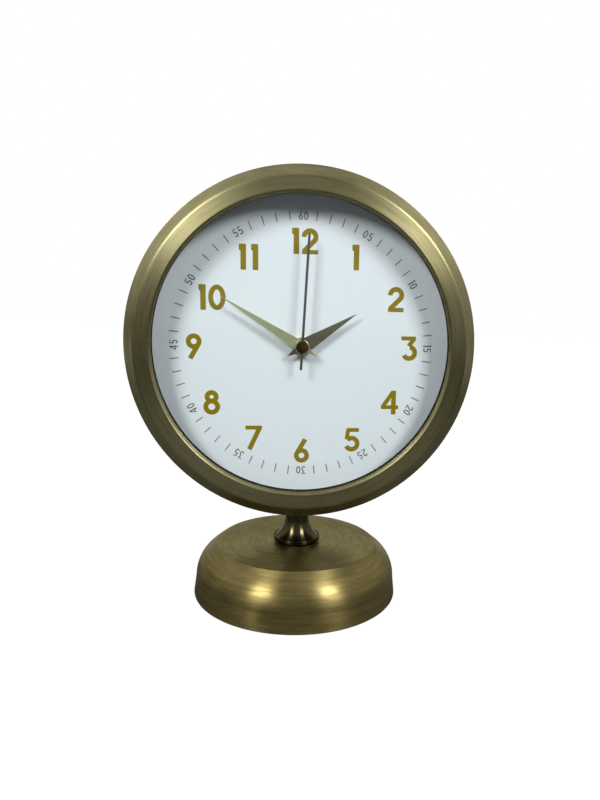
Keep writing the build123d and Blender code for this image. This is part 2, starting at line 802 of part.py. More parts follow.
# Base weight: a plain iron disc under the base's top, hollowed below for the nut
weight_top_z = base_height - base_wall
nut_seat_z = pad_thickness + weight_recess_depth
with BuildPart() as base_weight:
    with BuildSketch(Plane.XY.offset(pad_thickness)):
        Circle(weight_radius)
        Circle(weight_recess_radius, mode=Mode.SUBTRACT)
    extrude(amount=weight_recess_depth)
    with BuildSketch(Plane.XY.offset(nut_seat_z)):
        Circle(weight_radius)
        Circle(rod_hole_radius, mode=Mode.SUBTRACT)
    extrude(amount=weight_top_z - nut_seat_z)
save(base_weight, "base_weight")

# Base pad: a soft disc under the weight, which the clock stands on
with BuildPart() as base_pad:
    with BuildSketch(Plane.XY):
        Circle(base_inner_radius - pad_inset)
    extrude(amount=pad_thickness)
save(base_pad, "base_pad")

# Rod and nuts: they clamp the case, neck, collar, base shell and weight together
case_nut_z = face_height - sqrt(case_inner_radius**2 - rod_nut_flat**2 / 3)
base_nut_z = nut_seat_z - rod_nut_height
with BuildPart() as stand_rod:
    with BuildSketch(Plane.XY.offset(base_nut_z - rod_end)):
        Circle(rod_radius)
    extrude(amount=case_nut_z + rod_nut_height + rod_end - (base_nut_z - rod_end))
save(stand_rod, "stand_rod")

with BuildPart() as rod_nuts:
    for nut_z in (case_nut_z, base_nut_z):
        with BuildSketch(Plane.XY.offset(nut_z)):
            RegularPolygon(rod_nut_flat / 2, 6, major_radius=False)
            Circle(rod_radius, mode=Mode.SUBTRACT)
        extrude(amount=rod_nut_height)
save(rod_nuts, "rod_nuts")
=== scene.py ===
import json
import bpy
import numpy as np
from mathutils import Matrix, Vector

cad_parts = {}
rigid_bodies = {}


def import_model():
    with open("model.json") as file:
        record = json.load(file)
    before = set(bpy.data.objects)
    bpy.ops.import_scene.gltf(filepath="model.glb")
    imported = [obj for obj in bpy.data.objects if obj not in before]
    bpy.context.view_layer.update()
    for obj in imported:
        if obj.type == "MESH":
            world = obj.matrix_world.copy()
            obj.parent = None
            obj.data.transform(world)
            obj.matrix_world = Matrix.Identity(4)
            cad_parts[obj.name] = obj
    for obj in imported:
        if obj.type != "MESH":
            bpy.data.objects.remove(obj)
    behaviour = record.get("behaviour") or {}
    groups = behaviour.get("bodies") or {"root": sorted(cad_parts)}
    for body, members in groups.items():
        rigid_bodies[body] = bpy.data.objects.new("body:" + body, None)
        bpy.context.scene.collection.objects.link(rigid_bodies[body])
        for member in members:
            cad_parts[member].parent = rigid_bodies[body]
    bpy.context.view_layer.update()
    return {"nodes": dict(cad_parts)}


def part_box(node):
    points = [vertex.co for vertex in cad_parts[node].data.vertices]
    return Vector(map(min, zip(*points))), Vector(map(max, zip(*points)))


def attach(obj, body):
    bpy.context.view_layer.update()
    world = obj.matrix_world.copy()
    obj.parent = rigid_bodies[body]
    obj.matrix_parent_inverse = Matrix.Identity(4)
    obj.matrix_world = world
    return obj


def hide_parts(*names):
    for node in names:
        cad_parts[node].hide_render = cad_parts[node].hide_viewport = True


bl_info = {
    "name": "Table Clock",
    "version": (1, 0, 0),
    "blender": (4, 5, 0),
    "location": "View3D > Sidebar > Clock",
    "description": "Dresses a round brass table clock with its case, base, face, hands and movement",
    "category": "Object",
}

for old in list(bpy.data.objects):
    bpy.data.objects.remove(old)
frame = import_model()
nodes = frame["nodes"]

MM = 0.001
FACE_HEIGHT = sum(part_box("dial")[side].z for side in (0, 1)) / 2
CASE_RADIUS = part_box("case_shell")[1].x
DIAL_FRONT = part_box("dial")[0].y
FACE_CENTRE = (0.0, 0.0, FACE_HEIGHT)
BASE_CENTRE = (0.0, 0.0, 0.0)

# Radii about the axis of the face and depths along it, in millimetres, with the front at the negative end
CASE_EDGE = 76.2
CASE_SEAM = -15.7
CASE_REAR = 16.0
CASE_STEP = 75.2
CASE_INSIDE = 73.8
REAR_OPENING = 60.0
FLANGE_FRONT = 14.4
RIDGE_FRONT = -21.45
LIP_FRONT = -22.0
LIP_INSIDE = 63.7
POCKET = 71.0
SKIRT_OUTSIDE = 75.0
GLASS_FRONT = -19.7
GLASS_BACK = -17.7
SPACER_INSIDE = 65.3
SPACER_OUTSIDE = 70.8
DIAL_FACE = -10.5
DIAL_BACK = -9.0

# Radii about the axis of the base and heights above the table, in millimetres
ROD_HOLE = 2.7
FOOT_RADIUS = 48.0
FOOT_HEIGHT = 0.6
SHOULDER_RADIUS = 15.0
SHOULDER_PLACE = 32.0
SHOULDER_HEIGHT = 8.8
SHOULDER_DEGREES = 52.5
DISC_RADIUS = 37.4
DISC_HEIGHT = 23.6
INSIDE_RADIUS = 45.8
CEILING_RADIUS = 36.2
CEILING_HEIGHT = 22.4
COLLAR_FOOT = 9.8
COLLAR_RADIUS = 11.0
COLLAR_INSIDE = 10.55
COLLAR_BEVEL = 25.0
COLLAR_RIM = 26.6
NECK_FOOT = 25.7
NECK_TOP = 41.8
NECK_WAIST = 5.5
FLARE_WIDTH = 4.9
FLARE_HEIGHT = 10.0
FLARE_TOP = 36.3

# The hands in millimetres: where a kite is widest, how thick it is, and the thin seconds hand
KITE_SHOULDER = 2.2
KITE_THICKNESS = 0.4
STICK_HALF = 0.55
STICK_TIP = 48.2
STICK_TAIL = 10.0
STICK_BORE = 0.42
STICK_BACK = -15.6
STICK_FRONT = -15.9
STICK_EDGE = 0.06
STICK_DEGREES = 2.0

# The print: its thickness, what each stroke of a number stands above the one before it so that no two share
# a plane, and the proportions of the numbers
PRINT_THICKNESS = 0.02 * MM
PRINT_STEP = 0.004 * MM
HOUR_GAP = 0.1
ELEVEN_GAP = 0.2
MINUTE_GAP = 0.12
MINUTE_WEIGHT = 0.125
MINUTE_NARROWING = 0.75

# The camera, in metres, degrees, shares of the picture, and millimetres of lens and sensor
CAMERA_PLACE = (-0.0026, -0.27836, 0.12983)
CAMERA_DEGREES = (81.4416, -2.1903, -4.0127)
CAMERA_SHIFT = (-0.04962, 0.0116)
CAMERA_LENS = 27.0
CAMERA_SENSOR = 36.0
CAMERA_NEAR = 0.01

# Half the floor's side in metres, and where the lamps stand in degrees
FLOOR_HALF = 6
LAMP_SIDE = 42
LAMP_UP = 32

# What keeps a divisor off nought, and what stands for a side that a direction never meets
SMALL = 1e-6
FAR = 1e9


# Shapes

def unit(vectors):
    """Each vector divided by its length."""
    return vectors / np.linalg.norm(vectors, axis=-1, keepdims=True)


def arc(x, y, across, up, start, end, count=25):
    """Points on an oval about (x, y), from one angle to another in degrees, counter-clockwise from +x."""
    turn = np.radians(np.linspace(start, end, count))
    return np.stack([x + across * np.cos(turn), y + up * np.sin(turn)], 1)


def oval(x, y, across, up, count=36):
    """Points all round an oval, without the first one again at the end."""
    return arc(x, y, across, up, 90, -270, count + 1)[:-1]


def soften(corners, radii, steps, sharpest=0.9999, longest=0.4 * MM):
    """A closed outline with its corners rounded.

    An arc of the given radius touches both sides of a corner. With the sides at an angle a, it touches them
    at radius / tan(a / 2) from the corner, and its centre is radius / sin(a / 2) away along the bisector.
    Its points turn evenly from one touching point to the other. One more point stands on each side, a
    quarter of the touching distance, or of the longest one, outside the arc, so that the flat beside it stays
    flat when it is shaded. The sharpest corner is given as the cosine of its angle.
    """
    radii = radii[:, None]
    before = unit(np.roll(corners, 1, 0) - corners)
    after = unit(np.roll(corners, -1, 0) - corners)
    cosine = np.clip((before * after).sum(1, keepdims=True), -1, sharpest)
    half = np.arccos(cosine) / 2
    touch = radii / np.tan(half)
    # the tiny number gives a corner that doesn't turn a direction too
    centre = corners + unit(before + after + 1e-12) * radii / np.sin(half)
    first = corners + before * touch - centre
    last = corners + after * touch - centre
    turn = np.maximum(np.pi - 2 * half, SMALL)[None]
    share = np.linspace(0, 1, steps)[:, None, None]
    curve = centre + (np.sin((1 - share) * turn) * first + np.sin(share * turn) * last) / np.sin(turn)
    lead = touch + 0.25 * np.minimum(touch, longest)
    points = np.concatenate([(corners + before * lead)[None], curve, (corners + after * lead)[None]])
    return points.transpose(1, 0, 2).reshape(-1, 2)


def outward(points, faces):
    """The faces, turned over if the volume they shut in, a sixth of the sum of a . (b x c), is negative."""
    a, b, c, d = (points[faces[:, k]] for k in range(4))
    volume = (a * np.cross(b, c)).sum() + (a * np.cross(c, d)).sum()
    return faces[:, ::-1] if volume < 0 else faces


def grid_faces(rows, columns):
    """The four-sided faces of a grid that is closed along its rows and across them."""
    r, c = np.meshgrid(np.arange(rows), np.arange(columns), indexing="ij")
    nr, nc = (r + 1) % rows, (c + 1) % columns
    corners = [r * columns + c, nr * columns + c, nr * columns + nc, r * columns + nc]
    return np.stack(corners, -1).reshape(-1, 4)


def lathe(profile, centre, count, upright=False):
    """A closed profile turned once round an axis.

    With the profile's points each a radius r and a distance d along the axis, the point at the angle u is
    (r sin u, d, r cos u) for an axis along Y, and (r sin u, r cos u, d) for an upright one.
    """
    angle = np.linspace(0, 2 * np.pi, count, endpoint=False)[:, None]
    radius, along = profile.T
    across = np.sin(angle) * radius
    other = np.cos(angle) * radius
    along = np.broadcast_to(along, across.shape)
    axes = (across, other, along) if upright else (across, along, other)
    points = np.stack(axes, -1).reshape(-1, 3) + np.array(centre)
    faces = grid_faces(count, len(profile))
    return points, outward(points, faces)


def turned(section, centre, steps, count, upright=False):
    """A section turned once round an axis.

    Each row is a corner: its radius from the axis, its distance along it, and its rounding, in millimetres.
    """
    rows = np.asarray(section, float) * MM
    return lathe(soften(rows[:, :2], rows[:, 2], steps), centre, count, upright)


def corner_rows(points, rounding):
    """The points of a curve as rows of a section, all with the same rounding."""
    return [(x, y, rounding) for x, y in points]


def bezel_section(ridge, edge):
    """The bezel: the front from ridge to lip, the throat, the skirt round glass and dial, and the bevel.

    It is a polygon with rounded corners, and the ridge between front and bevel is rounded the most.
    """
    return [
        (POCKET, RIDGE_FRONT, ridge), (64.6, LIP_FRONT, 0.5), (63.95, -21.1, 0.4), (LIP_INSIDE, -20.1, 0.12),
        (LIP_INSIDE, GLASS_FRONT, 0.05), (POCKET, GLASS_FRONT, 0.1), (POCKET, DIAL_FACE, 0.1),
        (SKIRT_OUTSIDE, DIAL_FACE, 0.1), (SKIRT_OUTSIDE, CASE_SEAM, 0.1), (CASE_EDGE, CASE_SEAM, edge)]


def drum_section():
    """The case's wall, with a step inside for the bezel's skirt and the dial, and the rear flange.

    It is a polygon with rounded corners, and the outer one at the back is rounded the most.
    """
    return [
        (CASE_STEP, CASE_SEAM, 0.1), (CASE_EDGE, CASE_SEAM, 0.1), (CASE_EDGE, CASE_REAR, 4.0),
        (REAR_OPENING, CASE_REAR, 0.2), (REAR_OPENING, FLANGE_FRONT, 0.1), (CASE_INSIDE, FLANGE_FRONT, 0.5),
        (CASE_INSIDE, DIAL_BACK, 0.1), (CASE_STEP, DIAL_BACK, 0.1)]


def ring_section(inner, outer, back, front, roundings):
    """A plain ring: a rectangle with its own rounding at each corner, as the spacer and the nuts have it."""
    return np.column_stack([(inner, outer, outer, inner), (back, back, front, front), roundings])


def base_section():
    """The base's wall: the side, the round shoulder, the bevel, the disc, and back down inside.

    The shoulder is an arc of radius R about (c, h), with the points (c + R cos u, h + R sin u). The side
    leads from the foot to its start, and the bevel from its end to the disc.
    """
    radius = SHOULDER_RADIUS
    shoulder = arc(SHOULDER_PLACE, SHOULDER_HEIGHT, radius, radius, 0, SHOULDER_DEGREES, 15)
    return [
        (FOOT_RADIUS, FOOT_HEIGHT, 0.25), *corner_rows(shoulder, 0.05),
        (DISC_RADIUS, DISC_HEIGHT, 0.5), (ROD_HOLE, DISC_HEIGHT, 0.1),
        (ROD_HOLE, CEILING_HEIGHT, 0.1), (CEILING_RADIUS, CEILING_HEIGHT, 0.5),
        (INSIDE_RADIUS, SHOULDER_HEIGHT, 0.5), (INSIDE_RADIUS, FOOT_HEIGHT, 0.2)]


def neck_section():
    """The neck: a low straight foot, a flare that narrows to the waist, and the straight waist.

    The flare is an arc that leaves the waist upright. Over the height h it widens by w, so its radius is
    (w^2 + h^2) / 2w, and its centre is as high as its upper end.
    """
    radius = (FLARE_WIDTH**2 + FLARE_HEIGHT**2) / (2 * FLARE_WIDTH)
    start = 180 + np.degrees(np.arcsin(FLARE_HEIGHT / radius))
    flare = arc(NECK_WAIST + radius, FLARE_TOP, radius, radius, start, 180, 21)
    return [
        (ROD_HOLE, NECK_FOOT, 0.05), (NECK_WAIST + FLARE_WIDTH, NECK_FOOT, 0.1),
        *corner_rows(flare[:1], 0.2), *corner_rows(flare[1:], 0.02),
        (NECK_WAIST, NECK_TOP, 0.05), (ROD_HOLE, NECK_TOP, 0.05)]


def collar_section():
    """The collar: a shallow cup with a bevel round its foot and a rim round the foot of the neck.

    It is a polygon with rounded corners.
    """
    return [
        (ROD_HOLE, DISC_HEIGHT, 0.05), (COLLAR_FOOT, DISC_HEIGHT, 0.2), (COLLAR_RADIUS, COLLAR_BEVEL, 0.7),
        (COLLAR_RADIUS, COLLAR_RIM, 0.15), (COLLAR_INSIDE, COLLAR_RIM, 0.1), (COLLAR_INSIDE, NECK_FOOT, 0.05),
        (ROD_HOLE, NECK_FOOT, 0.05)]


def saddled(shape, play=0.02 * MM):
    """A shape cut off by the round case above it, with a little play.

    No point is higher than the height of the face less the square root of the case's radius squared less x
    squared, and less the play.
    """
    points, faces = shape
    case = FACE_HEIGHT - np.sqrt(CASE_RADIUS**2 - points[:, 0]**2)
    points[:, 2] = np.minimum(points[:, 2], case - play)
    return points, faces


def convex_reach(corners, angle, inset=0.0):
    """How far a convex outline lies from the middle at each angle, clockwise from straight up.

    A side with the outward normal n at a distance c lies (c - inset) / (n . d) away in the direction d, and
    the outline is the nearest of its sides.
    """
    side = np.roll(corners, -1, 0) - corners
    normal = unit(np.stack([side[:, 1], -side[:, 0]], 1))
    distance = (normal * corners).sum(1)
    normal = np.where(distance[:, None] < 0, -normal, normal)
    direction = np.stack([np.sin(angle), np.cos(angle)], 1)
    facing = direction @ normal.T
    reach = np.where(facing > SMALL, (np.abs(distance) - inset) / np.maximum(facing, SMALL), FAR)
    return reach.min(1)


def flat_hand(corners, bore, back, front, edge, clock_angle, count=96, closest=1e-4):
    """A flat hand with a bore and a narrow chamfer round both of its faces.

    It is a grid of the angle about the bore by a closed section: from the bore across the back to the
    outline, round its chamfered edge, and across the front to the bore again. The angles are spread evenly
    and include the corners' own, and of two that are nearer than the closest only one stays.
    """
    even = np.linspace(0, 2 * np.pi, count, endpoint=False)
    exact = np.arctan2(corners[:, 0], corners[:, 1]) % (2 * np.pi)
    angle = np.sort(np.concatenate([even, exact]))
    angle = angle[np.append(np.diff(angle) > closest, True)]
    full = convex_reach(corners, angle)
    small = np.maximum(convex_reach(corners, angle, edge), bore + edge)
    full = np.maximum(full, small)
    ring = np.full_like(full, bore)
    radius = np.stack([ring, small, full, full, small, ring], 1)
    depth = np.array([back, back, back - edge, front + edge, front, front])
    bearing = angle[:, None] + clock_angle
    depth = np.broadcast_to(depth, radius.shape)
    points = np.stack([radius * np.sin(bearing), depth, FACE_HEIGHT + radius * np.cos(bearing)], -1)
    points = points.reshape(-1, 3)
    return points, outward(points, grid_faces(len(angle), 6))


def bars(path, half_width, back, front, shut=False, least=0.4):
    """A flat bar carried along a path in the plane of the face.

    At each point the bar reaches half its width to both sides, along the sum of the unit normals of the two
    runs that meet there, lengthened by one over the cosine of half the turn between them, or over the least
    cosine where the turn is sharper.
    """
    runs = unit(np.roll(path, -1, 0) - path)
    arriving = np.roll(runs, 1, 0)
    if not shut:
        runs[-1] = runs[-2]
        arriving[0] = runs[0]
    normal = np.stack([runs[:, 1], -runs[:, 0]], 1)
    arriving_normal = np.stack([arriving[:, 1], -arriving[:, 0]], 1)
    middle = unit(normal + arriving_normal)
    reach = half_width / np.maximum((middle * normal).sum(1), least)
    right = path + middle * reach[:, None]
    left = path - middle * reach[:, None]
    section = np.stack([right, left, left, right], 1)
    depth = np.broadcast_to([back, back, front, front], section.shape[:2])
    points = np.stack([section[..., 0], depth, section[..., 1]], -1).reshape(-1, 3)
    faces = grid_faces(len(path), 4)
    if not shut:
        end = 4 * (len(path) - 1)
        faces = np.concatenate([faces[:-4], [[0, 1, 2, 3]], [[end + 3, end + 2, end + 1, end]]])
    return points, outward(points, faces)


def together(shapes):
    """Several shapes as one, each one's faces counted on from the points before it."""
    counts = np.cumsum([0] + [len(points) for points, faces in shapes[:-1]])
    points = np.concatenate([points for points, faces in shapes])
    faces = np.concatenate([faces + start for (_, faces), start in zip(shapes, counts)])
    return points, faces


def add_object(name, data):
    """An object made of a mesh, a lamp or a camera, and linked into the scene."""
    made = bpy.data.objects.new(name, data)
    bpy.context.scene.collection.objects.link(made)
    return made


def make_piece(name, shape, material, body, replaced=(), smooth=True):
    """Puts a shape into a mesh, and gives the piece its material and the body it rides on."""
    points, faces = shape
    mesh = bpy.data.meshes.new(name)
    mesh.from_pydata(points.tolist(), [], faces.tolist())
    mesh.validate()
    mesh.polygons.foreach_set("use_smooth", np.full(len(mesh.polygons), smooth))
    mesh.update()
    mesh.materials.append(material)
    piece = add_object(name, mesh)
    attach(piece, body)
    if replaced:
        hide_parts(*replaced)
    return piece


# Numerals, with lengths in units of a numeral's height and the origin at its lower left corner. Each has its
# width and its strokes. A stroke is a path, whether it is shut, and its width as a share of the full weight.

SIX = [(oval(0.31, 0.31, 0.215, 0.215), True, 1.0), ([(0.46, 1.0), (0.124, 0.418)], False, 1.0)]
NUMERALS = {
    "0": (0.68, [(oval(0.34, 0.5, 0.245, 0.405), True, 1.0)]),
    "1": (0.28, [([(0.1725, 0), (0.1725, 1)], False, 1.12), ([(0, 0.88), (0.17, 0.88)], False, 1.25)]),
    "2": (0.66, [
        (np.concatenate([arc(0.33, 0.665, 0.235, 0.24, 180, -28), [(0.10, 0.12)]]), False, 1.0),
        ([(0.02, 0.0825), (0.66, 0.0825)], False, 0.87)]),
    "3": (0.69, [
        ([(0.02, 0.92), (0.62, 0.92)], False, 0.84),
        ([(0.57, 0.93), (0.33, 0.61)], False, 0.9),
        (arc(0.36, 0.33, 0.235, 0.235, 85, -155), False, 1.0)]),
    "4": (0.72, [
        ([(0.52, 0), (0.52, 1)], False, 1.0), ([(0, 0.3), (0.72, 0.3)], False, 0.8),
        ([(0.5, 0.96), (0.07, 0.32)], False, 0.9)]),
    "5": (0.68, [
        ([(0.14, 0.92), (0.64, 0.92)], False, 0.84), ([(0.19, 0.95), (0.13, 0.52)], False, 0.86),
        (arc(0.34, 0.335, 0.24, 0.24, 140, -155), False, 1.0)]),
    "6": (0.62, SIX),
    "7": (0.68, [([(0, 0.92), (0.68, 0.92)], False, 0.84), ([(0.6, 0.95), (0.16, 0)], False, 1.0)]),
    "8": (0.69, [(oval(0.345, 0.735, 0.185, 0.175), True, 1.0), (oval(0.345, 0.325, 0.24, 0.23), True, 1.0)]),
    "9": (0.62, [(np.array([0.62, 1.0]) - np.asarray(path), shut, weight) for path, shut, weight in SIX]),
}

# Each hour numeral, the distance of its middle from the centre in millimetres, and its clock angle in degrees
HOUR_PLACES = (
    ("12", 45.5, 1), ("1", 45.4, 30.3), ("2", 46.49, 62.4), ("3", 47.85, 90.1), ("4", 46.89, 121.6),
    ("5", 47.82, 151.3), ("6", 47.25, 179.8), ("7", 46.41, 207.5), ("8", 47.33, 237.6), ("9", 47.42, 269.5),
    ("10", 44.41, 297.9), ("11", 44.89, 328.4))


def lettering(words, height, weight, narrowing, radius, clock_angle, turn, gap):
    """The strokes of a number, set out in the plane of the face.

    The strokes run from the left end of the number. Its middle lies at a radius and a clock angle from the
    centre, and the number is turned clockwise about that middle.
    """
    widths = [NUMERALS[letter][0] * narrowing for letter in words]
    starts = np.cumsum([0] + [width + gap for width in widths])
    middle = np.array([(starts[-1] - gap) / 2, 0.5])
    spot = radius * np.array([np.sin(clock_angle), np.cos(clock_angle)])
    spin = np.array([[np.cos(turn), -np.sin(turn)], [np.sin(turn), np.cos(turn)]])
    made = []
    for letter, start in zip(words, starts):
        for path, shut, share in NUMERALS[letter][1]:
            placed = np.asarray(path, float) * [narrowing, 1] + [start, 0] - middle
            placed = placed * height @ spin + spot + [0, FACE_HEIGHT]
            front = DIAL_FRONT - PRINT_THICKNESS - len(made) * PRINT_STEP
            made.append(bars(placed, share * weight * height / 2, DIAL_FRONT, front, shut))
    return made


# Materials

def fill(tree, node, values):
    """Fills a node's inputs: a socket is linked, and a number or colour is set on the input itself."""
    for key, value in values.items():
        if isinstance(value, bpy.types.NodeSocket):
            tree.links.new(value, node.inputs[key])
        else:
            node.inputs[key].default_value = value


def add_node(tree, kind, inputs=(), **settings):
    """Adds a shader node with its settings, and fills its inputs with numbers, colours or sockets."""
    made = tree.nodes.new("ShaderNode" + kind)
    for key, value in settings.items():
        setattr(made, key, value)
    fill(tree, made, dict(inputs))
    return made


def ramp(tree, value, low, high, first, last):
    """A colour that goes from the first to the last while the value goes from low to high."""
    made = add_node(tree, "ValToRGB", {"Fac": value})
    for element, position, colour in zip(made.color_ramp.elements, (low, high), (first, last)):
        element.position = position
        element.color = (*colour, 1)
    return made.outputs["Color"]


def calculate(tree, kind, first, second):
    """The sum, product or other plain operation of two values."""
    return add_node(tree, "Math", {0: first, 1: second}, operation=kind).outputs[0]


def vector_result(tree, kind, inputs, output=0):
    """What a vector operation makes of its inputs."""
    return add_node(tree, "VectorMath", inputs, operation=kind).outputs[output]


def blend(tree, first, second, share):
    """The first value times its share and the second times the rest."""
    parts = (calculate(tree, "MULTIPLY", first, share), calculate(tree, "MULTIPLY", second, 1 - share))
    return calculate(tree, "ADD", *parts)


def spread(tree, value, low, high):
    """A value between 0 and 1 spread between two others."""
    made = add_node(tree, "MapRange", {"Value": value, "To Min": low, "To Max": high})
    return made.outputs["Result"]


def rise(tree, value, low, high):
    """A share that rises from 0 to 1 while the value goes from low to high."""
    made = add_node(tree, "MapRange", {"Value": value, "From Min": low, "From Max": high})
    return made.outputs["Result"]


def noise(tree, vector, scale, detail=3.0, rough=0.55):
    """The value of a noise pattern over a vector."""
    inputs = {"Vector": vector, "Scale": scale, "Detail": detail, "Roughness": rough}
    return add_node(tree, "TexNoise", inputs).outputs["Fac"]


def relief(tree, height, strength, distance):
    """A normal that follows a relief of the given height."""
    inputs = {"Height": height, "Strength": strength, "Distance": distance}
    return add_node(tree, "Bump", inputs).outputs[0]


def new_material(name):
    """A material with nodes, and its tree, its shader and the object's own coordinates."""
    material = bpy.data.materials.new(name)
    material.use_nodes = True
    tree = material.node_tree
    shader = next(item for item in tree.nodes if item.type == "BSDF_PRINCIPLED")
    place = add_node(tree, "TexCoord").outputs["Object"]
    return material, tree, shader, place


def swap_shader(tree, shader, surface):
    """Takes the plain shader out of a material and puts another surface in its place."""
    output = next(item for item in tree.nodes if item.type == "OUTPUT_MATERIAL")
    tree.links.new(surface, output.inputs["Surface"])
    tree.nodes.remove(shader)


def ring_pattern(tree, centred, upright, along, across):
    """A vector that changes slowly round an axis and fast across it, so that noise makes turned streaks.

    It is (cos u, sin u) times the number along, and the radius less the height along the axis times the
    larger number across, which differs from line to line on a flat, a cone and a cylinder alike.
    """
    turn = (0, 0, 0) if upright else (np.pi / 2, 0, 0)
    stood_up = add_node(tree, "Mapping", {"Vector": centred, "Rotation": turn}).outputs[0]
    parts = add_node(tree, "SeparateXYZ", {0: stood_up}).outputs
    flat = add_node(tree, "CombineXYZ", {0: parts[0], 1: parts[1]}).outputs[0]
    around = vector_result(tree, "SCALE", {0: vector_result(tree, "NORMALIZE", {0: flat}), "Scale": along})
    radius = vector_result(tree, "LENGTH", {0: flat}, "Value")
    lines = calculate(tree, "MULTIPLY", calculate(tree, "SUBTRACT", radius, parts[2]), across)
    around_parts = add_node(tree, "SeparateXYZ", {0: around}).outputs
    made = {0: around_parts[0], 1: around_parts[1], 2: lines}
    return add_node(tree, "CombineXYZ", made).outputs[0]


def brushed_brass(name, colour, dark, centre, upright, roughness, grain, depth, brushing=0.75, wander=0.0,
                  edge_tint=(0.70, 0.70, 0.62, 1)):
    """Antique brass brushed round an axis: fine streaks, clouds of darker patina, and a satin lacquer.

    The brushing runs along the product of the place about the centre and the axis, and the gloss spreads
    across it, a quarter turn from there, give or take the share of a turn by which the brush wanders.
    """
    material, tree, shader, place = new_material(name)
    axis = (0, 0, 1) if upright else (0, 1, 0)
    back = [-value for value in centre]
    centred = add_node(tree, "Mapping", {"Vector": place, "Location": back}).outputs[0]
    along = vector_result(tree, "NORMALIZE", {0: vector_result(tree, "CROSS_PRODUCT", {0: centred, 1: axis})})
    fine = noise(tree, ring_pattern(tree, centred, upright, 5.0, 2600.0), 1.0, detail=2.0)
    broad = noise(tree, ring_pattern(tree, centred, upright, 2.2, 520.0), 1.0)
    streak = blend(tree, fine, broad, 0.55)
    mixed = blend(tree, streak, noise(tree, place, 34.0, detail=4.0), 0.7)
    patches = rise(tree, noise(tree, place, 52.0, detail=1.0), 0.25, 0.75)
    fill(tree, shader, {
        "Base Color": ramp(tree, mixed, 0.36, 0.64, dark, colour),
        "Metallic": 1.0,
        "Roughness": spread(tree, mixed, roughness + 0.1, roughness - 0.1),
        "Normal": relief(tree, streak, depth, grain),
        "Specular Tint": edge_tint,
        "Anisotropic": brushing,
        "Anisotropic Rotation": spread(tree, patches, 0.25 - wander, 0.25 + wander),
        "Tangent": along,
    })
    return material


def plain_surface(name, colour, dark, scale, roughness, bump=0.1, metallic=0.0, stretch=(1, 1, 1), size=0.1,
                  **extra):
    """A surface with clouds of two colours, a roughness that follows them and a fine relief.

    The relief has a strength and a size in millimetres. The stretch is what the pattern's scale is
    multiplied by along each axis.
    """
    material, tree, shader, place = new_material(name)
    pulled = add_node(tree, "Mapping", {"Vector": place, "Scale": stretch}).outputs[0]
    clouds = noise(tree, pulled, scale * 0.12, detail=4.0)
    fine = noise(tree, pulled, scale)
    mixed = blend(tree, clouds, fine, 0.6)
    fill(tree, shader, {
        "Base Color": ramp(tree, mixed, 0.35, 0.65, dark, colour),
        "Metallic": metallic,
        "Roughness": spread(tree, mixed, roughness + 0.08, roughness - 0.08),
        "Normal": relief(tree, fine, bump, size * MM),
        **extra,
    })
    return material


def clear_glass(name, clearness=(0.97, 0.98, 0.98, 1), least=0.025):
    """Clear flat glass with a trace of haze.

    With f one less the cosine of the angle of sight, it mirrors a share l + (1 - l) f^5 of the light, where l
    is the least share, and lets the rest through, the same from both of its sides.
    """
    material, tree, shader, place = new_material(name)
    haze = noise(tree, place, 60.0, detail=4.0)
    through = add_node(tree, "BsdfTransparent", {"Color": clearness})
    mirror = add_node(tree, "BsdfGlossy", {"Roughness": spread(tree, haze, 0.01, 0.05)})
    slant = add_node(tree, "LayerWeight", {"Blend": 0.5}).outputs["Facing"]
    share = spread(tree, calculate(tree, "POWER", slant, 5.0), least, 1.0)
    both = add_node(tree, "MixShader", {0: share, 1: through.outputs[0], 2: mirror.outputs[0]})
    swap_shader(tree, shader, both.outputs[0])
    return material


def wound_copper(name, colour, dark):
    """Copper wire laid turn beside turn along the coil, with its round backs as relief."""
    material, tree, shader, place = new_material(name)
    turns = add_node(tree, "TexWave", {"Vector": place, "Scale": 1400.0, "Distortion": 0.2},
                     bands_direction="X").outputs["Fac"]
    shade = noise(tree, place, 300.0)
    fill(tree, shader, {
        "Base Color": ramp(tree, blend(tree, turns, shade, 0.5), 0.2, 0.8, dark, colour),
        "Metallic": 1.0,
        "Roughness": spread(tree, shade, 0.25, 0.45),
        "Normal": relief(tree, turns, 0.6, 0.1 * MM),
    })
    return material


def felt(name, colour, dark):
    """Pressed felt: short fibres in all directions, with a soft sheen."""
    material, tree, shader, place = new_material(name)
    fibres = noise(tree, place, 1500.0, detail=5.0, rough=0.7)
    clouds = noise(tree, place, 120.0)
    fill(tree, shader, {
        "Base Color": ramp(tree, blend(tree, fibres, clouds, 0.7), 0.3, 0.7, dark, colour),
        "Roughness": spread(tree, fibres, 0.85, 1.0),
        "Normal": relief(tree, fibres, 0.8, 0.4 * MM),
        "Sheen Weight": 0.3,
    })
    return material


def dress(material, *names):
    """Gives CAD nodes a material in place of their plain one."""
    for name in names:
        materials = nodes[name].data.materials
        materials.clear()
        materials.append(material)


def darker(colour, share):
    """A colour with each of its parts times a share."""
    return tuple(channel * share for channel in colour)


# Settings

def length(name, description, default, highest=0.1):
    """A length in metres that is set in the panel."""
    return bpy.props.FloatProperty(name=name, description=description, default=default, min=0.0, max=highest,
                                   unit="LENGTH", subtype="DISTANCE", precision=5)


def angle_setting(name, description, degrees, lowest, highest):
    """An angle that is set in the panel, with its default in degrees and its range in radians."""
    return bpy.props.FloatProperty(name=name, description=description, default=np.radians(degrees),
                                   min=lowest, max=highest, subtype="ANGLE", unit="ROTATION")


def tint(name, description, default):
    """A colour that is set in the panel."""
    return bpy.props.FloatVectorProperty(name=name, description=description, default=default, size=3,
                                         min=0.0, max=1.0, subtype="COLOR")


